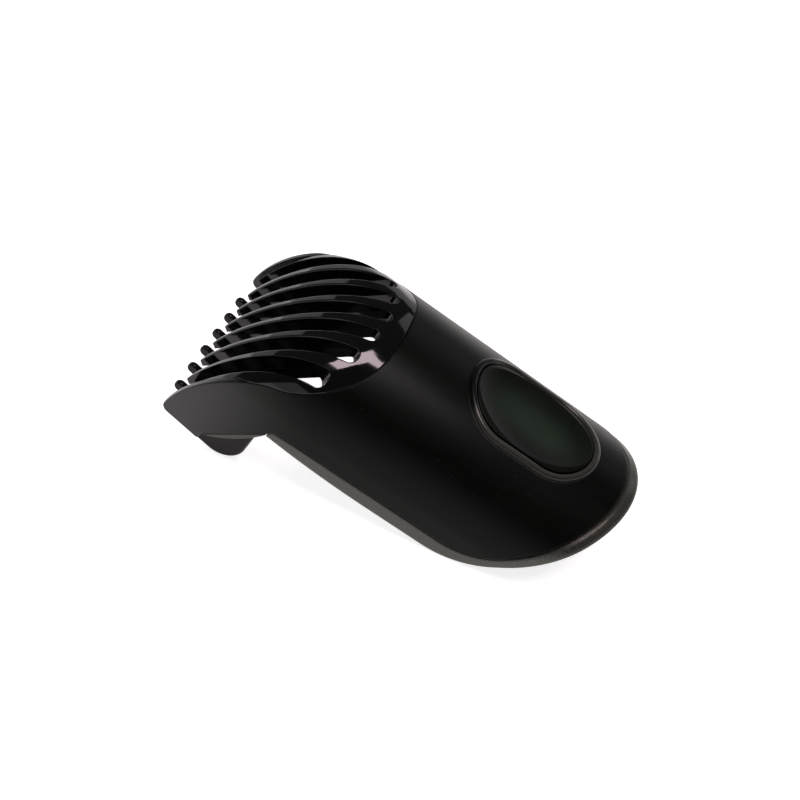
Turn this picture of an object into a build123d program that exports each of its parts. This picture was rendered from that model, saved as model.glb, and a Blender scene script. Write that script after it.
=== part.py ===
from build123d import *
import math
import os

os.makedirs("parts", exist_ok=True)

# Slide-on guide comb for a hair clipper, in millimetres. It is drawn in its slide frame: X runs
# along the clipper from the comb tips to the tail, Z stands square to the slide, and Y crosses
# the comb. At the end the whole part is turned to lie on its front skids and its tail edges.

# Arched body
half_width = 24.5
ridge_height = 42.7
crown_share = 1.1592
shoulder_share = 0.7102
rim_height = 13.35
rim_end = 63.3
tail_radius = 20.2
tail_angle = 49.6
shell_wall = 1.4
liner_wall = 1.5
rim_lip = 4.9
tail_lip = 3.1
lip_inset = 0.25
seam_gap = 0.1
shell_round = 0.35
lip_round = 0.7
lip_gap = 0.45
rim_lift = 1.8
rim_bend_x = 48.0

# Cheeks of the shell and the crease where it meets the comb
tip_radius = 2.0
tip_x = 1.7
tip_z = 5.9
tip_reach = 10.4
tip_turn = 172.0
cheek_corner_x = 9.7
cheek_corner_z = 1.95
cheek_step_x = 10.3
cheek_step_z = 4.2
cheek_angle = 47.6
cheek_rise_x = 22.3
rim_blend_x = 31.0
crease_waist_x = 17.5
crease_waist_drop = 13.7
crease_waist_slope = 11.3
crease_waist_reach = 8.7
crease_top_x = 33.6
crease_depth = 4.7
frame_front_x = 21.6
frame_front_drop = 16.7
tongue_length = 4.6
tongue_lift = 1.0
tongue_overlap = 2.0

# Comb ribs and the bars of the skid
rib_count = 8
rib_inset = 0.7
rib_thickness = 0.9
rib_round = 0.3
slot_end_width = 3.4
slot_end_x = 29.6
slot_end_setback = 4.6
beak_x = 0.8
beak_z = 7.4
beak_depth = 1.0
chord_top_x = 31.46
dome_end_x = 33.5
dome_end_setback = 14.6
dome_rise = 10.9
dome_lead = 2.6
dome_flat = 0.48
dome_sink = 0.06
dome_shares = (-1.04, -0.52, 0, 0.52, 1.04)
peg_x = 0.4
peg_z = 3.7
peg_radius = 1.35
lobe_x = 14.3
lobe_z = 4.8
lobe_radius = 5.7
lobe_turn = 30.0
bar_thickness = 1.5
bar_round = 0.5
cross_bar_radius = 1.9
plate_back_z = 15.2
plate_top_z = 22.0
plate_step = 3.0
plate_round = 0.9
strip_height = 1.3
strip_end_x = 21.3

# Release button and its opening
button_x = 67.66
button_length = 30.9
button_width = 20.4
button_gap = 0.3
button_proud = 0.4
button_depth = 3.6
button_travel = 1.6
button_overlap = 0.6
flange_width = 1.6
flange_gap = 0.25
dish_depth = 2.9
dish_margin = 0.3
dish_overrun = 1.0
dish_radius = 48.0
collar_width = 1.6
collar_height = 0.9
collar_round = 0.7

# Lock under the button
carrier_end = 4.0
carrier_width = 22.0
carrier_drop = 13.3
carrier_plate = 1.2
ear_drop = 9.5
ear_radius = 2.9
screw_reach = 4.75
screw_side = 3.6
screw_radius = 0.95
screw_head_radius = 1.8
screw_head_height = 1.1
screw_bite = 4.0
screw_slack = 0.03
screw_end_gap = 0.5
drive_width = 0.6
drive_length = 2.2
drive_depth = 0.5
post_radius = 1.8
pivot_offset = 0.46
pivot_drop = 8.9
pivot_radius = 1.0
pivot_slack = 0.05
pin_slack = 0.01
pawl_arm = 9.0
pawl_width = 4.8
pawl_thickness = 1.8
pawl_neck = 1.3
pawl_hub_radius = 2.1
tooth_length = 2.0
tooth_reach = 6.0
tooth_bevel = 0.6
lug_thickness = 1.3
side_gap = 0.2
bead_gap = 0.15
hook_thickness = 2.2
hook_wall = 1.2
spring_radius = 2.0
spring_wire = 0.5
spring_turns = 4.5
spring_offset = 7.2
spring_height = 6.3
spring_nib_radius = 1.4
spring_nib_height = 1.0
spring_seat_radius = 2.6

# Guide rails inside the body
rail_start = 30.0
rail_length = 36.0
rail_bottom = 18.2
rail_height = 2.0
rail_depth = 1.4
rail_root = 0.5

full_length = 130.0
start_x = -20.0
far_z = 60.0
low_z = -20.0
touching = 0.001
crown_radius = half_width * crown_share
shoulder_radius = half_width * shoulder_share
inner_width = half_width - shell_wall
wall_total = shell_wall + liner_wall
rib_pitch = 2 * (inner_width - rib_inset) / (rib_count - 1)
slot_front_width = rib_pitch - rib_thickness
crease_waist_z = ridge_height - crease_waist_drop
frame_front_z = ridge_height - frame_front_drop
chord_root = (beak_x + beak_depth, beak_z - beak_depth)
chord_slope = (ridge_height - chord_root[1]) / (chord_top_x - chord_root[0])
screw_spacing_x = button_length - button_width + 2 * screw_reach
screw_spacing_y = button_width + 2 * screw_side
carrier_length = screw_spacing_x + 2 * carrier_end
carrier_bottom = ridge_height - carrier_drop
ear_top = ridge_height - ear_drop
post_bottom = ear_top + seam_gap
pivot_x = button_x - pivot_offset
pivot_z = ridge_height - pivot_drop


def polar(centre, radius, angle):
    turn = math.radians(angle)
    return (centre[0] + radius * math.cos(turn), centre[1] + radius * math.sin(turn))


def arch(side, crown):
    # Solid bar under the arch, drawn in by side at the walls and by crown at the ridge
    half = half_width - side
    shoulder = shoulder_radius - side
    bow = crown_radius - crown
    centre_z = ridge_height - crown_radius
    shoulder_y = half - shoulder
    shoulder_z = centre_z + math.sqrt((bow - shoulder) ** 2 - shoulder_y ** 2)
    turn = math.degrees(math.asin(shoulder_y / (bow - shoulder)))
    outline = Line((-half, low_z), (half, low_z))
    outline += Line((half, low_z), (half, shoulder_z))
    outline += CenterArc((shoulder_y, shoulder_z), shoulder, 0, 90 - turn)
    outline += CenterArc((0, centre_z), bow, 90 - turn, 2 * turn)
    outline += CenterArc((-shoulder_y, shoulder_z), shoulder, 90 + turn, 90 - turn)
    outline += Line((-half, shoulder_z), (-half, low_z))
    return extrude(Plane.YZ.offset(start_x) * make_face(outline), full_length)


def across(face):
    # Side view drawn in X and Z, taken right across the part
    return extrude(Plane.XZ * face, half_width * 1.5, both=True)


def plank(face, near, far):
    # Side view taken from one distance off the middle plane to another
    return extrude(Plane.XZ.offset(-near) * face, near - far)


def tail_edge(rim_setback, tail_setback):
    # Sweep from the rim into the sloping tail edge, set in from the lip's edge at both ends
    turn = math.radians(tail_angle)
    inset = (rim_setback + tail_setback) / 2
    shift = inset - tail_setback + (rim_setback - inset) * math.cos(turn)
    radius = tail_radius - inset
    start = (rim_end + shift / math.sin(turn), rim_height + rim_setback)
    centre = (start[0], start[1] + radius)
    end = polar(centre, radius, tail_angle - 90)
    top = (end[0] + (far_z - end[1]) / math.tan(turn), far_z)
    return CenterArc(centre, radius, -90, tail_angle) + Line(end, top), start, top


def crease():
    # Curve from the cheek's tip over the shoulder to the ridge
    tip = polar((tip_x, tip_z), tip_radius, tip_turn)
    lead = math.radians(tip_turn - 90)
    rise = (tip[0] + tip_reach * math.cos(lead), tip[1] + tip_reach * math.sin(lead))
    waist = (crease_waist_x, crease_waist_z)
    slope = math.radians(crease_waist_slope)
    along = (math.cos(slope), math.sin(slope))
    before = (waist[0] - crease_waist_reach * along[0], waist[1] - crease_waist_reach * along[1])
    after = (waist[0] + crease_depth * along[0], waist[1] + crease_depth * along[1])
    top = (crease_top_x, ridge_height)
    below = (crease_top_x, ridge_height - crease_depth)
    curve = Bezier(tip, rise, before, waist) + Bezier(waist, after, below, top)
    return curve + Line(top, (crease_top_x, far_z))


def shell_side(gap):
    # Side view of the outer shell, with its lower and tail edges moved out by gap
    tail, start, top = tail_edge(rim_lip - gap, tail_lip - gap)
    rim = start[1]
    slope = math.tan(math.radians(cheek_angle))
    foot_angle = math.degrees(math.atan2(cheek_corner_z + tip_radius - tip_z, cheek_corner_x - tip_x))
    heel = polar((tip_x, tip_z), tip_radius, foot_angle - 90)
    corner = (cheek_corner_x, cheek_corner_z)
    step = (cheek_step_x, cheek_step_z)
    knee = (cheek_rise_x, cheek_step_z + (cheek_rise_x - cheek_step_x) * slope)
    knee_out = (knee[0] + (rim - knee[1]) / slope, rim)
    blend = ((knee_out[0] + rim_blend_x) / 2, rim)
    outline = crease()
    outline += CenterArc((tip_x, tip_z), tip_radius, tip_turn, foot_angle + 270 - tip_turn)
    outline += Polyline(heel, corner, step, knee)
    outline += Bezier(knee, knee_out, blend, (rim_blend_x, rim))
    outline += Line((rim_blend_x, rim), start)
    outline += tail
    outline += Line(top, (crease_top_x, far_z))
    return make_face(outline)


def front_edge_x(z):
    # Sloping front edge of the inner frame at one height
    lean = (crease_top_x + tongue_length - frame_front_x) / frame_front_drop
    return frame_front_x + lean * (z - frame_front_z)


def frame_side():
    # Side view of the inner frame
    tail, start, top = tail_edge(0, 0)
    front_low = (frame_front_x, rim_height + rim_lift)
    bend = (rim_bend_x, rim_height)
    outline = Bezier(front_low, ((front_low[0] + rim_bend_x) / 2, rim_height), bend)
    outline += Line(bend, start)
    outline += tail
    outline += Polyline(top, (front_edge_x(far_z), far_z), (frame_front_x, frame_front_z), front_low)
    return make_face(outline)


def oval(grow):
    # Round-ended outline of the button, grown all round
    outline = SlotOverall(button_length + 2 * grow, button_width + 2 * grow)
    return extrude(Pos(button_x, 0, 0) * outline, far_z)


def column(x, y, bottom, top, radius):
    return Pos(x, y, (bottom + top) / 2) * Cylinder(radius, top - bottom)


def block(x_low, x_high, half_y, z_low, z_high):
    middle = Pos((x_low + x_high) / 2, 0, (z_low + z_high) / 2)
    return middle * Box(x_high - x_low, 2 * half_y, z_high - z_low)


def right_half(shape):
    return shape & Pos(full_length / 2 + start_x, half_width, 0) * Box(full_length, 2 * half_width, 4 * far_z)


def crossways(x, z, radius, half_y):
    return Pos(x, 0, z) * Rot(90, 0, 0) * Cylinder(radius, 2 * half_y)


outer_bar = arch(0, 0)
under_shell = arch(shell_wall, shell_wall)
liner_outer = arch(shell_wall, shell_wall + seam_gap)
hollow = arch(wall_total, wall_total)
shell_view = across(shell_side(0))
screw_places = [
    (button_x + sx * screw_spacing_x / 2, sy * screw_spacing_y / 2) for sx in (-1, 1) for sy in (-1, 1)
]


def stands_proud(point):
    # True for a point on the collar's top face
    centre_z = ridge_height - crown_radius
    return math.hypot(point.Y, point.Z - centre_z) > crown_radius + collar_height / 2


def make_outer_shell():
    shell = shell_view & (outer_bar - under_shell)
    shell = fillet([edge for edge in shell.edges() if edge.distance_to(under_shell) > shell_round], shell_round)
    collar_top = arch(-collar_height, -collar_height)
    shell += oval(button_gap + collar_width) & (collar_top - under_shell)
    for x, y in screw_places:
        shell += column(x, y, post_bottom, ridge_height, post_radius) & outer_bar
    shell -= oval(button_gap)
    raised = [edge for edge in shell.edges() if (edge @ 0.5).Z > ear_top and stands_proud(edge @ 0.5)]
    shell = fillet(raised, collar_round)
    for x, y in screw_places:
        shell -= column(x, y, post_bottom, post_bottom + screw_bite, screw_radius + screw_slack)
    return shell


def make_inner_frame():
    view = across(frame_side())
    frame = view & (liner_outer - hollow)
    lip = right_half((view - across(shell_side(lip_gap))) & (arch(lip_inset, lip_inset) - hollow))
    lower = [edge for edge in lip.edges() if edge.distance_to(shell_view) > lip_gap + seam_gap]
    lip = fillet([edge for edge in lower if edge.distance_to(hollow) > liner_wall], lip_round)
    frame += lip + mirror(lip, Plane.XZ)
    for x, y in screw_places:
        frame += column(x, y, ear_top, ridge_height, ear_radius) & liner_outer
    for side in (-1, 1):
        rail_y = side * (half_width - wall_total - (rail_depth - rail_root) / 2)
        rail = Box(rail_length, rail_depth + rail_root, rail_height)
        frame += Pos(rail_start + rail_length / 2, rail_y, rail_bottom + rail_height / 2) * rail
    frame -= oval(flange_width + 2 * button_gap)
    for x, y in screw_places:
        frame -= column(x, y, carrier_bottom, ridge_height, post_radius + seam_gap)
    return frame


def dome_section(y):
    # Side outline of the comb's domed top at one distance from the middle plane
    share = (y / half_width) ** 2
    end_x = dome_end_x - dome_end_setback * share
    end_z = ridge_height - dome_sink - crown_radius + math.sqrt(crown_radius ** 2 - y ** 2)
    beak = (beak_x, beak_z)
    rise = (beak_x + dome_lead, beak_z + dome_rise)
    level = (end_x - dome_flat * (end_x - beak_x), end_z)
    rear = crease_top_x + tongue_length
    outline = Bezier(beak, rise, level, (end_x, end_z))
    outline += Polyline((end_x, end_z), (rear, end_z), (rear, chord_root[1]), chord_root, beak)
    return Plane((0, y, 0), x_dir=(1, 0, 0), z_dir=(0, -1, 0)) * make_face(outline)


def make_comb_insert():
    dome = loft([dome_section(share * half_width) for share in dome_shares])
    chord_top = (chord_root[0] + (far_z - chord_root[1]) / chord_slope, far_z)
    under = Polyline(chord_root, chord_top, (full_length, far_z), (full_length, low_z), (chord_root[0], low_z),
                     chord_root)
    under_chord = across(make_face(under))
    tip = polar((tip_x, tip_z), tip_radius, tip_turn)
    front = crease() + Polyline((crease_top_x, far_z), (start_x, far_z), (start_x, tip[1]), tip)
    front_view = Pos(-seam_gap, 0, 0) * across(make_face(front))
    dome = dome & outer_bar
    skin = (dome & front_view) - (under_chord & hollow)
    comb = skin + ((dome & under_shell) - under_chord)
    comb += across(tongue_side()) & (liner_outer - hollow)
    slots = [slot_cutter((number - (rib_count - 2) / 2) * rib_pitch) for number in range(rib_count - 1)]
    for slot in slots:
        comb -= slot
    comb = right_half(comb)
    rounded = []
    for edge in comb.edges():
        middle = edge @ 0.5
        height = middle.Z - chord_root[1] - (middle.X - chord_root[0]) * chord_slope
        upright = abs((edge % 0.5).Z) > 1 - touching
        beside = min(slot.distance_to(Vertex(middle)) for slot in slots) < touching
        inner = touching < middle.Y < (rib_count - 3) / 2 * rib_pitch
        if height > beak_depth and not upright and beside and inner:
            rounded.append(edge)
    comb = fillet(rounded, rib_round)
    return comb + mirror(comb, Plane.XZ)


def tongue_side():
    # Side view of the tongue that reaches back under the shell
    low = crease_waist_z + tongue_lift
    front_x = crease_top_x - tongue_overlap
    outline = Polyline((crease_waist_x, low), (front_edge_x(low) - seam_gap, low),
                       (front_edge_x(far_z) - seam_gap, far_z), (front_x, far_z),
                       (front_x, ridge_height - crease_depth), (crease_waist_x, low))
    return make_face(outline)


def slot_cutter(y):
    # Slot between two ribs, with a round end at the bridge and a wider mouth
    end_x = slot_end_x - slot_end_setback * (y / (3 * rib_pitch)) ** 2 - slot_end_width / 2
    narrow = slot_end_width / 2
    wide = slot_front_width / 2
    outline = Polyline((end_x, narrow), (beak_x, wide), (start_x, wide), (start_x, -wide), (beak_x, -wide),
                       (end_x, -narrow))
    outline += CenterArc((end_x, 0), narrow, -90, 180)
    return extrude(Pos(0, y, low_z) * make_face(outline), far_z - low_z)


def skid_bar_face():
    # Hooked bar from its peg along the skid and round the lobe
    span = math.hypot(lobe_x - peg_x, lobe_z - peg_z)
    lean = math.degrees(math.atan2(lobe_z - peg_z, lobe_x - peg_x))
    fall = lean - math.degrees(math.asin((lobe_radius - peg_radius) / span))
    run = span * math.cos(math.radians(lean - fall))
    bar = Pos(peg_x, peg_z) * Rot(0, 0, fall) * Pos(run / 2, 0) * Rectangle(run, 2 * peg_radius)
    bar += Pos(peg_x, peg_z) * Circle(peg_radius)
    ring = Pos(lobe_x, lobe_z) * (Circle(lobe_radius) - Circle(lobe_radius - 2 * peg_radius))
    reach = 3 * lobe_radius
    sector = Polyline((lobe_x, lobe_z), polar((lobe_x, lobe_z), reach, fall - 90),
                      polar((lobe_x, lobe_z), reach, -45), polar((lobe_x, lobe_z), reach, lobe_turn),
                      (lobe_x, lobe_z))
    bar += ring & make_face(sector)
    end = polar((lobe_x, lobe_z), lobe_radius - peg_radius, lobe_turn)
    bar += Pos(*end) * Circle(peg_radius)
    return bar


def make_skid_comb():
    bar = skid_bar_face()
    heel_x = lobe_x + lobe_radius
    chord_top = (chord_root[0] + (plate_top_z - chord_root[1]) / chord_slope, plate_top_z)
    chord_low = (chord_root[0] + plate_step, chord_root[1] + plate_step * chord_slope)
    peg_back = polar((peg_x, peg_z), peg_radius, 45)
    plate_line = Polyline(peg_back, chord_low, chord_top, (heel_x, plate_back_z), (heel_x, lobe_z),
                          (lobe_x, lobe_z), (peg_x, peg_z), peg_back)
    plate = bar + make_face(plate_line)
    plate += Pos(lobe_x, lobe_z) * Circle(lobe_radius)
    plate -= Pos(tip_x - full_length / 2, 0) * Rectangle(full_length, full_length)
    plate_inner = inner_width - bar_thickness
    side_plate = plank(plate, plate_inner, inner_width)
    outer_edges = side_plate.edges().group_by(Axis.Y)[-1]
    side_plate = fillet([edge for edge in outer_edges if (edge @ 0.5).Z < cheek_corner_z], plate_round)
    run = (strip_end_x - cheek_step_x) / math.cos(math.radians(cheek_angle))
    strip_line = Line((0, -seam_gap), (run, -seam_gap))
    strip_line += ThreePointArc((run, -seam_gap), (run / 2, -strip_height), (0, -seam_gap))
    strip = Pos(cheek_step_x, cheek_step_z) * Rot(0, 0, cheek_angle) * make_face(strip_line)
    side_plate += plank(strip, plate_inner, half_width)
    skid = side_plate + mirror(side_plate, Plane.XZ)
    single = plank(bar, -bar_thickness / 2, bar_thickness / 2)
    rims = [edge for edge in single.edges() if abs((edge @ 0).Y - (edge @ 1).Y) < touching]
    single = fillet(rims, bar_round)
    for number in range(1, rib_count - 1):
        skid += Pos(0, (number - (rib_count - 1) / 2) * rib_pitch, 0) * single
    middle = polar((lobe_x, lobe_z), lobe_radius - cross_bar_radius, rest_tilt - 90)
    skid += crossways(middle[0], middle[1], cross_bar_radius, plate_inner)
    return skid


def make_release_button():
    cap = oval(0) & (arch(-button_proud, -button_proud) - arch(button_depth, button_depth))
    flange_top = shell_wall + flange_gap
    flange = oval(flange_width) & (arch(flange_top, flange_top) - arch(button_depth, button_depth))
    button = cap + flange
    low = ridge_height + button_proud - dish_depth
    half = button_length / 2 - dish_margin
    bow = (half ** 2 + dish_depth ** 2) / (2 * dish_depth)
    axis_z = low + dish_radius
    reach = half + dish_overrun
    ends = low + bow - math.sqrt(bow ** 2 - reach ** 2)
    left_x = button_x - reach
    right_x = button_x + reach
    dish_line = ThreePointArc((left_x, ends), (button_x, low), (right_x, ends))
    dish_line += Polyline((right_x, ends), (right_x, axis_z), (left_x, axis_z), (left_x, ends))
    button -= revolve(Plane.XZ * make_face(dish_line), Axis((0, 0, axis_z), (1, 0, 0)))
    inside = arch(flange_top, button_depth - button_overlap)
    bead = pawl_thickness / 2
    hook_low = pivot_z - bead - bead_gap - hook_wall
    hook_x = pivot_x + pawl_arm
    hook = block(hook_x - hook_thickness / 2, hook_x + hook_thickness / 2,
                 pawl_width / 2 + side_gap + hook_wall, hook_low, ridge_height)
    button += hook & inside
    button -= block(hook_x - hook_thickness, hook_x + hook_thickness, pawl_width / 2 + side_gap,
                    pivot_z - bead - bead_gap, pivot_z + bead + bead_gap)
    seat = carrier_bottom + carrier_plate + spring_height
    for side in (-1, 1):
        button += column(button_x, side * spring_offset, seat, ridge_height, spring_seat_radius) & inside
        button += column(button_x, side * spring_offset, seat - spring_nib_height, seat, spring_nib_radius)
    return button


def make_lock_carrier():
    plate_top = carrier_bottom + carrier_plate
    low_x = button_x - carrier_length / 2
    carrier = block(low_x, low_x + carrier_length, carrier_width / 2, carrier_bottom, plate_top)
    for x, y in screw_places:
        side = math.copysign(1, y)
        wall_y = side * (carrier_width / 2 - carrier_plate / 2)
        wall = Box(2 * ear_radius, carrier_plate, ear_top - carrier_bottom)
        carrier += Pos(x, wall_y, (carrier_bottom + ear_top) / 2) * wall
        ear_y = (abs(y) + carrier_width / 2 - carrier_plate) / 2
        ear = Box(2 * ear_radius, abs(y) - carrier_width / 2 + carrier_plate, carrier_plate)
        carrier += Pos(x, side * ear_y, ear_top - carrier_plate / 2) * ear
        carrier += column(x, y, ear_top - carrier_plate, ear_top, ear_radius)
    lug_inner = pawl_width / 2 + side_gap
    lug_top = pivot_z + pawl_hub_radius
    lugs = block(pivot_x - pawl_hub_radius, pivot_x + pawl_hub_radius, lug_inner + lug_thickness,
                 carrier_bottom, pivot_z)
    lugs += crossways(pivot_x, pivot_z, pawl_hub_radius, lug_inner + lug_thickness)
    lugs -= block(pivot_x - 2 * pawl_hub_radius, pivot_x + 2 * pawl_hub_radius, lug_inner, plate_top, lug_top)
    carrier += lugs
    carrier -= crossways(pivot_x, pivot_z, pivot_radius + pin_slack, carrier_width)
    tooth_x = pivot_x - pawl_arm
    carrier -= block(tooth_x - tooth_length, tooth_x + tooth_length, lug_inner, low_z, plate_top + touching)
    hook_x = pivot_x + pawl_arm
    carrier -= block(hook_x - hook_thickness, hook_x + hook_thickness, lug_inner + hook_wall + 2 * side_gap,
                     low_z, plate_top + touching)
    for x, y in screw_places:
        carrier -= column(x, y, low_z, far_z, screw_radius + seam_gap)
    for side in (-1, 1):
        carrier += column(button_x, side * spring_offset, carrier_bottom, plate_top + spring_nib_height,
                          spring_nib_radius)
    return carrier


def make_lock_pawl():
    half = pawl_width / 2
    thick = pawl_thickness / 2
    tooth_x = pivot_x - pawl_arm
    pawl = crossways(pivot_x, pivot_z, pawl_hub_radius, half)
    pawl += block(tooth_x, pivot_x, half, pivot_z - thick, pivot_z + thick)
    tooth = block(tooth_x - tooth_length / 2, tooth_x + tooth_length / 2, half, pivot_z - tooth_reach,
                  pivot_z + thick)
    tooth_edges = tooth.edges().filter_by(Axis.Y).group_by(Axis.Z)[0]
    pawl += chamfer(tooth_edges, tooth_bevel)
    pawl += block(pivot_x, pivot_x + pawl_arm, half, pivot_z - pawl_neck / 2, pivot_z + pawl_neck / 2)
    pawl += crossways(pivot_x + pawl_arm, pivot_z, thick, half)
    pawl -= crossways(pivot_x, pivot_z, pivot_radius + pivot_slack, pawl_width)
    return pawl


def make_pawl_pin():
    return crossways(pivot_x, pivot_z, pivot_radius, pawl_width / 2 + side_gap + lug_thickness)


def make_carrier_screws():
    group = []
    under = ear_top - carrier_plate
    for x, y in screw_places:
        shank = column(x, y, under - screw_head_height, post_bottom + screw_bite - screw_end_gap, screw_radius)
        head = column(x, y, under - screw_head_height, under, screw_head_radius)
        drive = Box(drive_width, drive_length, 2 * drive_depth) + Box(drive_length, drive_width, 2 * drive_depth)
        drive = Pos(x, y, under - screw_head_height) * drive
        group.append(head + shank - drive)
    return Compound(children=group)


def biarc(start, start_dir, end, end_dir):
    # Two tangent arcs from one point and direction to another
    chord = end - start
    both = start_dir + end_dir
    spread = 2 * (1 - start_dir.dot(end_dir))
    reach = (math.sqrt(chord.dot(both) ** 2 + spread * chord.dot(chord)) - chord.dot(both)) / spread
    joint = (start + end + (start_dir - end_dir) * reach) * 0.5
    joint_dir = (end - start - (start_dir + end_dir) * reach).normalized()
    return TangentArc(start, joint, tangent=start_dir) + TangentArc(joint, end, tangent=joint_dir)


def coil_point(step):
    # Place and direction on the spring's centre line, in quarter turns from its lower end
    rise = (spring_height - spring_wire - seam_gap) / spring_turns
    lead = math.atan2(rise, 2 * math.pi * spring_radius)
    turn = step * math.pi / 2
    place = Vector(spring_radius * math.cos(turn), spring_radius * math.sin(turn), rise * step / 4)
    way = Vector(-math.sin(turn) * math.cos(lead), math.cos(turn) * math.cos(lead), math.sin(lead))
    return place, way


def make_spring(side):
    # Compression coil between the carrier and the button
    steps = round(4 * spring_turns)
    path = Curve()
    for step in range(steps):
        path += biarc(*coil_point(step), *coil_point(step + 1))
    start, way = coil_point(0)
    wire = sweep(Plane(start, z_dir=way) * Circle(spring_wire / 2), path=path)
    return Pos(button_x, side * spring_offset, carrier_bottom + carrier_plate + spring_wire / 2) * wire


def coil_gap():
    # Least clear distance between neighbouring turns of the spring
    places = [coil_point(step / 10)[0] for step in range(round(40 * spring_turns) + 1)]
    apart = [(a - b).length for i, a in enumerate(places) for b in places[i + 20:]]
    return min(apart) - spring_wire


def resting_tilt():
    # Slope of the line that touches both the front lobe and the tail's sweep from below
    reach_x = rim_end - lobe_x
    reach_z = rim_height + tail_radius - lobe_z
    span = math.hypot(reach_x, reach_z)
    return math.degrees(math.atan2(reach_z, reach_x) - math.asin((tail_radius - lobe_radius) / span))


rest_tilt = resting_tilt()
parts = {
    "outer_shell": make_outer_shell(),
    "inner_frame": make_inner_frame(),
    "comb_insert": make_comb_insert(),
    "skid_comb": make_skid_comb(),
    "release_button": make_release_button(),
    "lock_carrier": make_lock_carrier(),
    "lock_pawl": make_lock_pawl(),
    "pawl_pin": make_pawl_pin(),
    "carrier_screws": make_carrier_screws(),
    "left_spring": make_spring(-1),
    "right_spring": make_spring(1),
}
turned = {name: Rot(0, rest_tilt, 0) * shape for name, shape in parts.items()}
boxes = [shape.bounding_box() for shape in turned.values()]
low_x = min(box.min.X for box in boxes)
high_x = max(box.max.X for box in boxes)
floor_z = min(box.min.Z for box in boxes)
ground = Pos(-(low_x + high_x) / 2, 0, -floor_z)
for name, shape in turned.items():
    export_step(ground * shape, f"parts/{name}.step")
print("rest tilt", round(rest_tilt, 3), "middle", round((low_x + high_x) / 2, 3), "floor", round(floor_z, 3))
print("length", round(high_x - low_x, 2), "height", round(max(box.max.Z for box in boxes) - floor_z, 2))
print("least gap between spring turns", round(coil_gap(), 3))
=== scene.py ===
import bpy
import math
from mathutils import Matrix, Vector


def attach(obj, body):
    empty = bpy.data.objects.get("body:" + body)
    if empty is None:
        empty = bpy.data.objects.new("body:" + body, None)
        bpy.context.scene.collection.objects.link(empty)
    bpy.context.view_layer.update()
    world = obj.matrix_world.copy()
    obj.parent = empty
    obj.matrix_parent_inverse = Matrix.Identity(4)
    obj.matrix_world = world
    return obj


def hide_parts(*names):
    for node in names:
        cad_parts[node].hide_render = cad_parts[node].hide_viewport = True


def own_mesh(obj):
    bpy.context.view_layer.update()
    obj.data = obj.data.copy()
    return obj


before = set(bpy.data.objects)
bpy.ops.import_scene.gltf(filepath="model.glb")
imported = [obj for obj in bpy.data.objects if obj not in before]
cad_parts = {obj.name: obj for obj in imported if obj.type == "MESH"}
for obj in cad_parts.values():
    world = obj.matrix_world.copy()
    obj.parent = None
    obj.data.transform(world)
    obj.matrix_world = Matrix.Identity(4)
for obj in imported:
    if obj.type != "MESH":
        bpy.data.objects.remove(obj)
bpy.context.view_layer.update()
print("frame loaded:", len(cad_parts), "pieces")


class Wire:  # a socket that works in sums
    def __init__(self, maker, socket):
        self.maker = maker
        self.socket = socket

    def join(self, operation, first, second):
        return self.maker.add("ShaderNodeMath", {"operation": operation}, {0: first, 1: second})

    def __add__(self, other):
        return self.join("ADD", self, other)

    def __sub__(self, other):
        return self.join("SUBTRACT", self, other)

    def __rsub__(self, other):
        return self.join("SUBTRACT", other, self)

    def __mul__(self, other):
        return self.join("MULTIPLY", self, other)

    def __pow__(self, other):
        return self.join("POWER", self, other)

    def __abs__(self):
        return self.join("ABSOLUTE", self, 0.0)

    def atLeast(self, other):
        return self.join("MAXIMUM", self, other)

    __radd__ = __add__
    __rmul__ = __mul__


class NodeMaker:  # fills one node tree
    def __init__(self, tree):
        self.tree = tree
        tree.nodes.clear()

    def add(self, kind, settings={}, sockets={}, output=0):
        node = self.tree.nodes.new(kind)
        for name, value in settings.items():
            setattr(node, name, value)
        for name, value in sockets.items():
            if isinstance(value, Wire):
                self.tree.links.new(value.socket, node.inputs[name])
            else:
                node.inputs[name].default_value = value
        return Wire(self, node.outputs[output]) if node.outputs else node

    def noise(self, place, scale, detail, roughness=0.5):
        return self.add("ShaderNodeTexNoise", {}, {
            "Vector": place, "Scale": scale, "Detail": detail, "Roughness": roughness})

    def stretched(self, place, stretch, detail, roughness):
        turned = self.add("ShaderNodeMapping", {}, {"Vector": place, "Scale": stretch})
        return self.noise(turned, 1.0, detail, roughness)

    def fade(self, value, full, gone):  # 1 at full, 0 at gone
        return self.add("ShaderNodeMapRange", {"interpolation_type": "SMOOTHSTEP"}, {
            "Value": value, 1: full, 2: gone, 3: 1.0, 4: 0.0})

    def mixColour(self, share, first, second):
        return self.add("ShaderNodeMix", {"data_type": "RGBA"}, {0: share, 6: first, 7: second}, 2)

    def along(self, place, axis):
        return self.add("ShaderNodeSeparateXYZ", {}, {"Vector": place}, axis)


def newFinish(name):
    material = bpy.data.materials.new(name)
    material.use_nodes = True
    nodes = NodeMaker(material.node_tree)
    return material, nodes, nodes.add("ShaderNodeTexCoord", {}, {}, "Object")


def dress(material, *names):
    for name in names:
        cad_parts[name].material_slots[0].material = material
        print("dressed", name, "in", material.name)


# Where a point lies along the round-ended button opening, and how far it is from the middle line
openingPlace = {"lean": math.radians(15.614), "shift": -0.016102, "straight": 0.00525}


def alongOpening(nodes, place):
    level = nodes.along(place, "X") * math.cos(openingPlace["lean"])
    return level - nodes.along(place, "Z") * math.sin(openingPlace["lean"]) + openingPlace["shift"]


def fromOpening(nodes, place):
    past = (abs(alongOpening(nodes, place)) - openingPlace["straight"]).atLeast(0.0)
    return (past ** 2.0 + nodes.along(place, "Y") ** 2.0) ** 0.5


# What every plastic here shares
plasticBody = {"ior": 1.5, "edgeSamples": 4, "noiseMiddle": 0.5}

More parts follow.
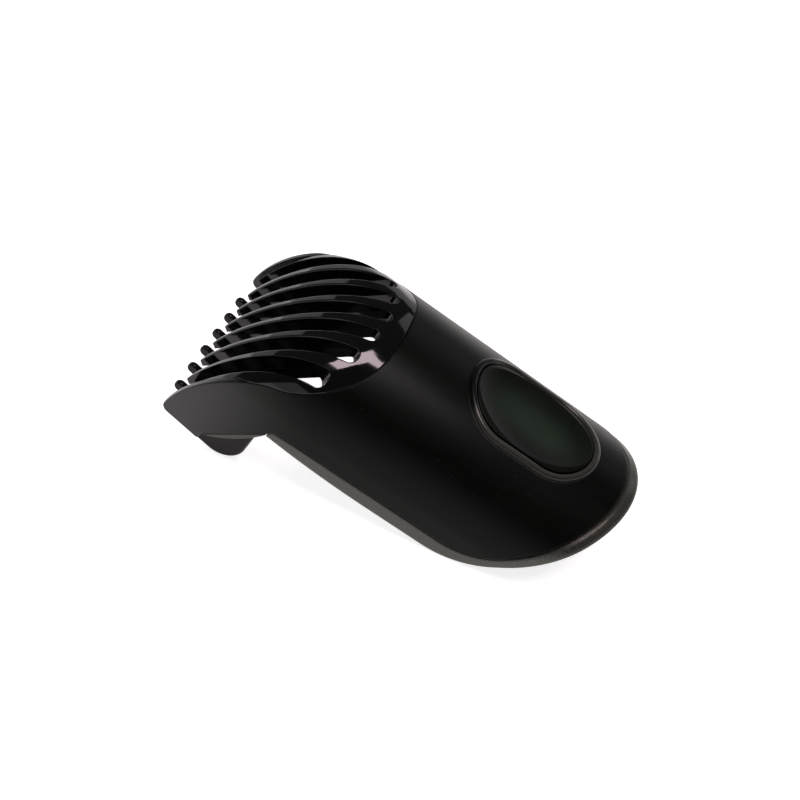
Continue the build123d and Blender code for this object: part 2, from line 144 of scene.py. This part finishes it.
# Satin mouldings: spark-eroded grain, faint handling marks, specks of dust, a coat on polished places, and
# optional painted highlight and painted glow masks
satinMarks = {
    "grainDetail": 3.0, "grainBreak": 0.6, "cloudDetail": 4.0,
    "streakDetail": 3.0, "streakBreak": 0.65, "streakFrom": 0.72, "streakTo": 0.56,
    "dustFrom": 0.02, "dustTo": 0.05,
    "cloudShare": 0.3, "glowShare": 0.7, "coatLeast": 0.75, "coatCloud": 0.5,
}


def satinPlastic(name, look, polished=None, paintedHighlight=None, paintedGlow=None):
    material, nodes, place = newFinish(name)
    grain = nodes.noise(place, look["grainScale"], satinMarks["grainDetail"], satinMarks["grainBreak"])
    cloud = nodes.noise(place, look["cloudScale"], satinMarks["cloudDetail"])
    drawn = nodes.stretched(
        place, look["streakStretch"], satinMarks["streakDetail"], satinMarks["streakBreak"])
    streak = nodes.fade(drawn, satinMarks["streakFrom"], satinMarks["streakTo"])
    speck = nodes.add("ShaderNodeTexVoronoi", {}, {"Vector": place, "Scale": look["dustScale"]})
    dust = nodes.fade(speck, satinMarks["dustFrom"], satinMarks["dustTo"])
    share = cloud
    # painted reflection: where a look asks for it, a lighter tone is laid along the middle
    if paintedGlow is not None:
        share = cloud * satinMarks["cloudShare"] + paintedGlow(nodes, place, look) * satinMarks["glowShare"]
    tone = nodes.mixColour(share, (*look["dark"], 1), (*look["light"], 1))
    tone = nodes.mixColour(dust * look["dustAmount"], tone, (*look["dust"], 1))
    # painted highlight and painted shade: a paler tone where the mask asks, as on the collar
    if paintedHighlight is not None:
        highlightShare = paintedHighlight(nodes, place, look)
        tone = nodes.mixColour(highlightShare, tone, (*look["highlightTone"], 1))
    middle = plasticBody["noiseMiddle"]
    roughness = (grain - middle) * look["grainGloss"] + (cloud - middle) * look["cloudGloss"]
    roughness = roughness - streak * look["streakGloss"] + look["roughness"]
    soften = nodes.add("ShaderNodeBevel", {"samples": plasticBody["edgeSamples"]}, {"Radius": look["edge"]})
    bump = nodes.add("ShaderNodeBump", {}, {
        "Strength": look["grainStrength"], "Distance": look["grainDepth"],
        "Height": grain, "Normal": soften})
    sockets = {
        "Base Color": tone, "Roughness": roughness, "Normal": bump, "IOR": plasticBody["ior"],
        "Specular IOR Level": look["gloss"], "Specular Tint": (*look["sheen"], 1)}
    if polished is not None:
        coat = polished(nodes, place, look)
        if paintedHighlight is not None:
            coat = coat.atLeast(highlightShare)
        sockets["Coat Weight"] = coat * (satinMarks["coatLeast"] + cloud * satinMarks["coatCloud"])
        sockets["Coat Roughness"] = look["coatRoughness"]
    surface = nodes.add("ShaderNodeBsdfPrincipled", {}, sockets)
    nodes.add("ShaderNodeOutputMaterial", {}, {"Surface": surface})
    return material


shellLook = {
    "dark": (0.0014, 0.0016, 0.0014), "light": (0.003, 0.0034, 0.0028), "sheen": (0.84, 1.0, 0.93),
    "roughness": 0.33, "gloss": 0.12, "edge": 0.0004, "coatRoughness": 0.3,
    "grainScale": 5200.0, "grainGloss": 0.12, "grainStrength": 0.35, "grainDepth": 0.00003,
    "cloudScale": 55.0, "cloudGloss": 0.08, "streakStretch": (60.0, 420.0, 420.0), "streakGloss": 0.05,
    "dust": (0.11, 0.11, 0.105), "dustScale": 330.0, "dustAmount": 0.35,
    "cheekWorn": 0.85, "cheekFrom": -0.052, "cheekTo": -0.018,
    # the collar keys paint a highlight on the collar bead and leave painted shade at its front end
    "collarHighlight": 0.9, "collarFrom": 0.0118, "collarTo": 0.0125, "highlightTone": (0.02, 0.021, 0.018),
    "shadedEndFrom": -0.012, "shadedEndTo": -0.0145,
}


def rubbedCheeks(nodes, place, look):  # the cheeks are polished by use
    return nodes.fade(nodes.along(place, "X"), look["cheekFrom"], look["cheekTo"]) * look["cheekWorn"]


def collarPaintedLight(nodes, place, look):  # painted highlight: the collar is paler along its sides, with painted shade at its front end, which stays dark
    ring = nodes.fade(fromOpening(nodes, place), look["collarFrom"], look["collarTo"])
    beforeShadedEnd = nodes.fade(alongOpening(nodes, place), look["shadedEndFrom"], look["shadedEndTo"])
    return ring * beforeShadedEnd * look["collarHighlight"]


# painted highlight: the lip's black is lighter than the shell's, standing in for the light the lip catches
lipLook = {
    "dark": (0.022, 0.026, 0.021), "light": (0.034, 0.039, 0.032), "sheen": (0.98, 1.0, 0.9),
    "roughness": 0.27, "gloss": 1.0, "edge": 0.0012,
    "grainScale": 6200.0, "grainGloss": 0.1, "grainStrength": 0.25, "grainDepth": 0.000025,
    "cloudScale": 70.0, "cloudGloss": 0.07, "streakStretch": (60.0, 420.0, 420.0), "streakGloss": 0.05,
    "dust": (0.13, 0.13, 0.12), "dustScale": 380.0, "dustAmount": 0.3,
}
# the button's green light tone mostly serves the dish's painted reflection
buttonLook = {
    "dark": (0.0022, 0.0024, 0.0024), "light": (0.009, 0.019, 0.01), "sheen": (0.96, 1.0, 0.94),
    "roughness": 0.3, "gloss": 0.14, "edge": 0.0003,
    "grainScale": 7000.0, "grainGloss": 0.08, "grainStrength": 0.2, "grainDepth": 0.00002,
    "cloudScale": 90.0, "cloudGloss": 0.06, "streakStretch": (500.0, 90.0, 500.0), "streakGloss": 0.08,
    "dust": (0.1, 0.11, 0.1), "dustScale": 420.0, "dustAmount": 0.25,
    "glowFrom": 0.001, "glowTo": 0.0075,
}


def dishPaintedGlow(nodes, place, look):  # painted reflection: the dish is lighter and greener along its middle
    return nodes.fade(fromOpening(nodes, place), look["glowFrom"], look["glowTo"])


lockLook = {
    "dark": (0.035, 0.035, 0.037), "light": (0.055, 0.055, 0.057), "sheen": (1.0, 1.0, 1.0),
    "roughness": 0.45, "gloss": 0.45, "edge": 0.0001,
    "grainScale": 4200.0, "grainGloss": 0.1, "grainStrength": 0.3, "grainDepth": 0.00003,
    "cloudScale": 120.0, "cloudGloss": 0.08, "streakStretch": (500.0, 120.0, 500.0), "streakGloss": 0.06,
    "dust": (0.2, 0.2, 0.19), "dustScale": 350.0, "dustAmount": 0.3,
}
dress(satinPlastic("satinShell", shellLook, polished=rubbedCheeks, paintedHighlight=collarPaintedLight), "outer_shell")
dress(satinPlastic("satinLip", lipLook), "inner_frame")
dress(satinPlastic("buttonSatin", buttonLook, paintedGlow=dishPaintedGlow), "release_button")
dress(satinPlastic("lockPlastic", lockLook), "lock_carrier", "lock_pawl")


# Polished black of the combs: hairline wiping marks that dull the gloss here and there
glossMarks = {
    "cloudDetail": 3.0, "rippleDetail": 1.0,
    "markDetail": 2.0, "markBreak": 0.7, "markFrom": 0.75, "markTo": 0.6,
}


def glossPlastic(name, look):
    material, nodes, place = newFinish(name)
    cloud = nodes.noise(place, look["cloudScale"], glossMarks["cloudDetail"])
    wiping = 0.0
    for stretch in look["markStretches"]:
        hairline = nodes.stretched(place, stretch, glossMarks["markDetail"], glossMarks["markBreak"])
        wiping = nodes.fade(hairline, glossMarks["markFrom"], glossMarks["markTo"]) + wiping
    ripple = nodes.noise(place, look["rippleScale"], glossMarks["rippleDetail"])
    tone = nodes.mixColour(cloud, (*look["dark"], 1), (*look["light"], 1))
    roughness = cloud * look["cloudGloss"] + wiping * look["markGloss"] + look["roughness"]
    rim = 1 - nodes.fade(abs(nodes.along(place, "Y")), look["rimFrom"], look["rimTo"])  # outer sides, where the skid gets a painted highlight strip
    tone = nodes.mixColour(rim, tone, (*look["rim"], 1))
    roughness = roughness + rim * look["rimDull"]
    soften = nodes.add("ShaderNodeBevel", {"samples": plasticBody["edgeSamples"]}, {"Radius": look["edge"]})
    bump = nodes.add("ShaderNodeBump", {}, {
        "Strength": look["rippleStrength"], "Distance": look["rippleDepth"],
        "Height": ripple, "Normal": soften})
    surface = nodes.add("ShaderNodeBsdfPrincipled", {}, {
        "Base Color": tone, "Roughness": roughness, "Normal": bump, "IOR": plasticBody["ior"],
        "Specular IOR Level": look["gloss"]})
    nodes.add("ShaderNodeOutputMaterial", {}, {"Surface": surface})
    return material


combLook = {
    "dark": (0.0022, 0.0024, 0.0028), "light": (0.004, 0.0042, 0.0048), "roughness": 0.05, "gloss": 0.5,
    "edge": 0.00025, "cloudScale": 80.0, "cloudGloss": 0.03,
    "markStretches": [(90.0, 900.0, 300.0), (300.0, 120.0, 900.0)], "markGloss": 0.05,
    "rippleScale": 160.0, "rippleStrength": 0.12, "rippleDepth": 0.00004,
    "rim": (0.004, 0.0042, 0.0048), "rimDull": 0.02, "rimFrom": 0.023, "rimTo": 0.0245,
}
# the skid's pale strip tone is a painted highlight along its outer sides
skidLook = {
    "dark": (0.003, 0.0031, 0.0032), "light": (0.0075, 0.0076, 0.0074), "roughness": 0.11, "gloss": 0.22,
    "edge": 0.0003, "cloudScale": 220.0, "cloudGloss": 0.06,
    "markStretches": [(120.0, 800.0, 300.0), (300.0, 120.0, 800.0)], "markGloss": 0.07,
    "rippleScale": 260.0, "rippleStrength": 0.3, "rippleDepth": 0.00006,
    "rim": (0.17, 0.175, 0.16), "rimDull": 0.25, "rimFrom": 0.0231, "rimTo": 0.0233,
}
dress(glossPlastic("glossComb", combLook), "comb_insert")
dress(glossPlastic("glossSkid", skidLook), "skid_comb")


# Drawn steel of the pin, springs and screws
def drawnSteel(name, look):
    material, nodes, place = newFinish(name)
    lines = nodes.stretched(place, look["lineStretch"], look["lineDetail"], look["lineBreak"])
    stain = nodes.noise(place, look["stainScale"], look["stainDetail"])
    tone = nodes.mixColour(stain, (*look["bright"], 1), (*look["stained"], 1))
    bump = nodes.add("ShaderNodeBump", {}, {
        "Strength": look["lineStrength"], "Distance": look["lineDepth"], "Height": lines})
    surface = nodes.add("ShaderNodeBsdfPrincipled", {}, {
        "Base Color": tone, "Roughness": lines * look["lineGloss"] + look["roughness"], "Metallic": 1.0,
        "Normal": bump})
    nodes.add("ShaderNodeOutputMaterial", {}, {"Surface": surface})
    return material


steelLook = {
    "bright": (0.62, 0.61, 0.59), "stained": (0.46, 0.45, 0.43), "roughness": 0.22, "lineGloss": 0.15,
    "lineStretch": (6000.0, 900.0, 6000.0), "lineDetail": 3.0, "lineBreak": 0.6,
    "lineStrength": 0.2, "lineDepth": 0.00001, "stainScale": 500.0, "stainDetail": 4.0,
}
dress(drawnSteel("drawnSteel", steelLook), "pawl_pin", "carrier_screws", "left_spring", "right_spring")


# The two coils get meshes of their own, hung on the comb body in place of the CAD springs
def shorteningSpring(name, node):
    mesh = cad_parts[node].data.copy()
    coil = bpy.data.objects.new(name, mesh)
    bpy.context.collection.objects.link(coil)
    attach(coil, "comb_body")
    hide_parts(node)
    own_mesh(coil)
    print("coiled", name)


shorteningSpring("leftCoil", "left_spring")
shorteningSpring("rightCoil", "right_spring")


# White sweep: a round floor whose rim curls up into a low wall
def whiteSweep(settings):
    profile = [(0.0, 0.0), (settings["flat"], 0.0)]
    for step in range(1, settings["curveSteps"] + 1):
        turn = math.radians(90 * step / settings["curveSteps"])
        outward, upward = settings["rise"] * math.sin(turn), settings["rise"] * (1 - math.cos(turn))
        profile.append((settings["flat"] + outward, upward))
    points = [(0.0, 0.0, 0.0)]
    faces = []
    count = settings["sides"]
    for radius, height in profile[1:]:
        for side in range(count):
            turn = 2 * math.pi * side / count
            points.append((radius * math.cos(turn), radius * math.sin(turn), height))
    for side in range(count):
        following = (side + 1) % count
        faces.append((0, 1 + side, 1 + following))
        for ring in range(len(profile) - 2):
            low = 1 + ring * count
            faces.append((low + side, low + count + side, low + count + following, low + following))
    mesh = bpy.data.meshes.new("whiteSweep")
    mesh.from_pydata(points, [], faces)
    mesh.shade_smooth()
    sweep = bpy.data.objects.new("whiteSweep", mesh)
    bpy.context.collection.objects.link(sweep)
    material = bpy.data.materials.new("sweepPaper")
    material.use_nodes = True
    nodes = NodeMaker(material.node_tree)
    direct = nodes.add("ShaderNodeLightPath", {}, {}, "Is Camera Ray")
    through = nodes.add("ShaderNodeLightPath", {}, {}, "Is Transmission Ray")
    mirrored = nodes.add("ShaderNodeLightPath", {}, {}, "Is Glossy Ray")
    seen = direct + through + mirrored * settings["mirrorShare"]
    paper = nodes.add("ShaderNodeBsdfDiffuse", {}, {"Color": settings["paper"]})
    glow = nodes.add("ShaderNodeEmission", {}, {"Color": (1, 1, 1, 1), "Strength": seen * settings["glow"]})
    surface = nodes.add("ShaderNodeAddShader", {}, {0: paper, 1: glow})
    nodes.add("ShaderNodeOutputMaterial", {}, {"Surface": surface})
    mesh.materials.append(material)


sweepSettings = {
    "flat": 1.3, "rise": 0.5, "curveSteps": 10, "sides": 64,
    "paper": (0.62, 0.62, 0.61, 1), "glow": 0.82, "mirrorShare": 0.5,
}
whiteSweep(sweepSettings)
print("sweep laid")


# Soft boxes in a dim room, and white behind for the camera
def softBox(name, settings):
    light = bpy.data.lights.new(name, "AREA")
    light.shape = "RECTANGLE"
    light.size = settings["width"]
    light.size_y = settings["depth"]
    light.energy = settings["radiance"] * math.pi * settings["width"] * settings["depth"]
    light.color = settings["colour"]
    lamp = bpy.data.objects.new(name, light)
    lamp.location = [part * settings["distance"] for part in Vector(settings["towards"]).normalized()]
    lamp.rotation_euler = Vector(settings["towards"]).to_track_quat("Z", "Y").to_euler()
    lamp.visible_glossy = settings["mirrored"]
    bpy.context.collection.objects.link(lamp)
    print("lit", name)


overheadSettings = {
    "width": 0.34, "depth": 0.3, "radiance": 11.0, "colour": (1.0, 0.8, 0.85), "mirrored": True,
    "towards": (0.13, -0.11, 0.99), "distance": 0.75,
}
keySettings = {
    "width": 0.7, "depth": 0.7, "radiance": 4.5, "colour": (1.0, 1.0, 0.97), "mirrored": False,
    "towards": (-0.62, 0.55, 0.56), "distance": 0.9,
}
backSettings = {
    "width": 0.5, "depth": 0.35, "radiance": 0.6, "colour": (1.0, 1.0, 1.0), "mirrored": True,
    "towards": (0.35, 0.7, 0.55), "distance": 0.9,
}
fillSettings = {
    "width": 0.25, "depth": 0.25, "radiance": 1.5, "colour": (1.0, 1.0, 0.97), "mirrored": True,
    "towards": (-0.62, -0.6, 0.4), "distance": 0.8,
}
softBox("overheadBox", overheadSettings)
softBox("keyBox", keySettings)
softBox("backBox", backSettings)
softBox("fillBox", fillSettings)
roomSettings = {"room": (0.03, 0.03, 0.031, 1), "white": (1, 1, 1, 1)}
room = bpy.data.worlds.new("studio")
room.use_nodes = True
roomNodes = NodeMaker(room.node_tree)
cameraRay = roomNodes.add("ShaderNodeLightPath", {}, {}, "Is Camera Ray")
roomTone = roomNodes.mixColour(cameraRay, roomSettings["room"], roomSettings["white"])
backdrop = roomNodes.add("ShaderNodeBackground", {}, {"Color": roomTone, "Strength": 1.0})
roomNodes.add("ShaderNodeOutputWorld", {}, {"Surface": backdrop})
bpy.context.scene.world = room
print("lights set")


# The photograph's viewpoint, turned as the picture is
cameraSettings = {
    "place": (0.00357, -0.15584, 0.17569), "turn": (42.259, -14.626, 18.519), "lens": 44.056, "near": 0.01,
}
camera = bpy.data.objects.new("camera", bpy.data.cameras.new("camera"))
camera.location = cameraSettings["place"]
camera.rotation_euler = [math.radians(angle) for angle in cameraSettings["turn"]]
camera.data.lens = cameraSettings["lens"]
camera.data.clip_start = cameraSettings["near"]
bpy.context.collection.objects.link(camera)
bpy.context.scene.camera = camera
bpy.context.scene.view_settings.view_transform = "Standard"
print("camera set")
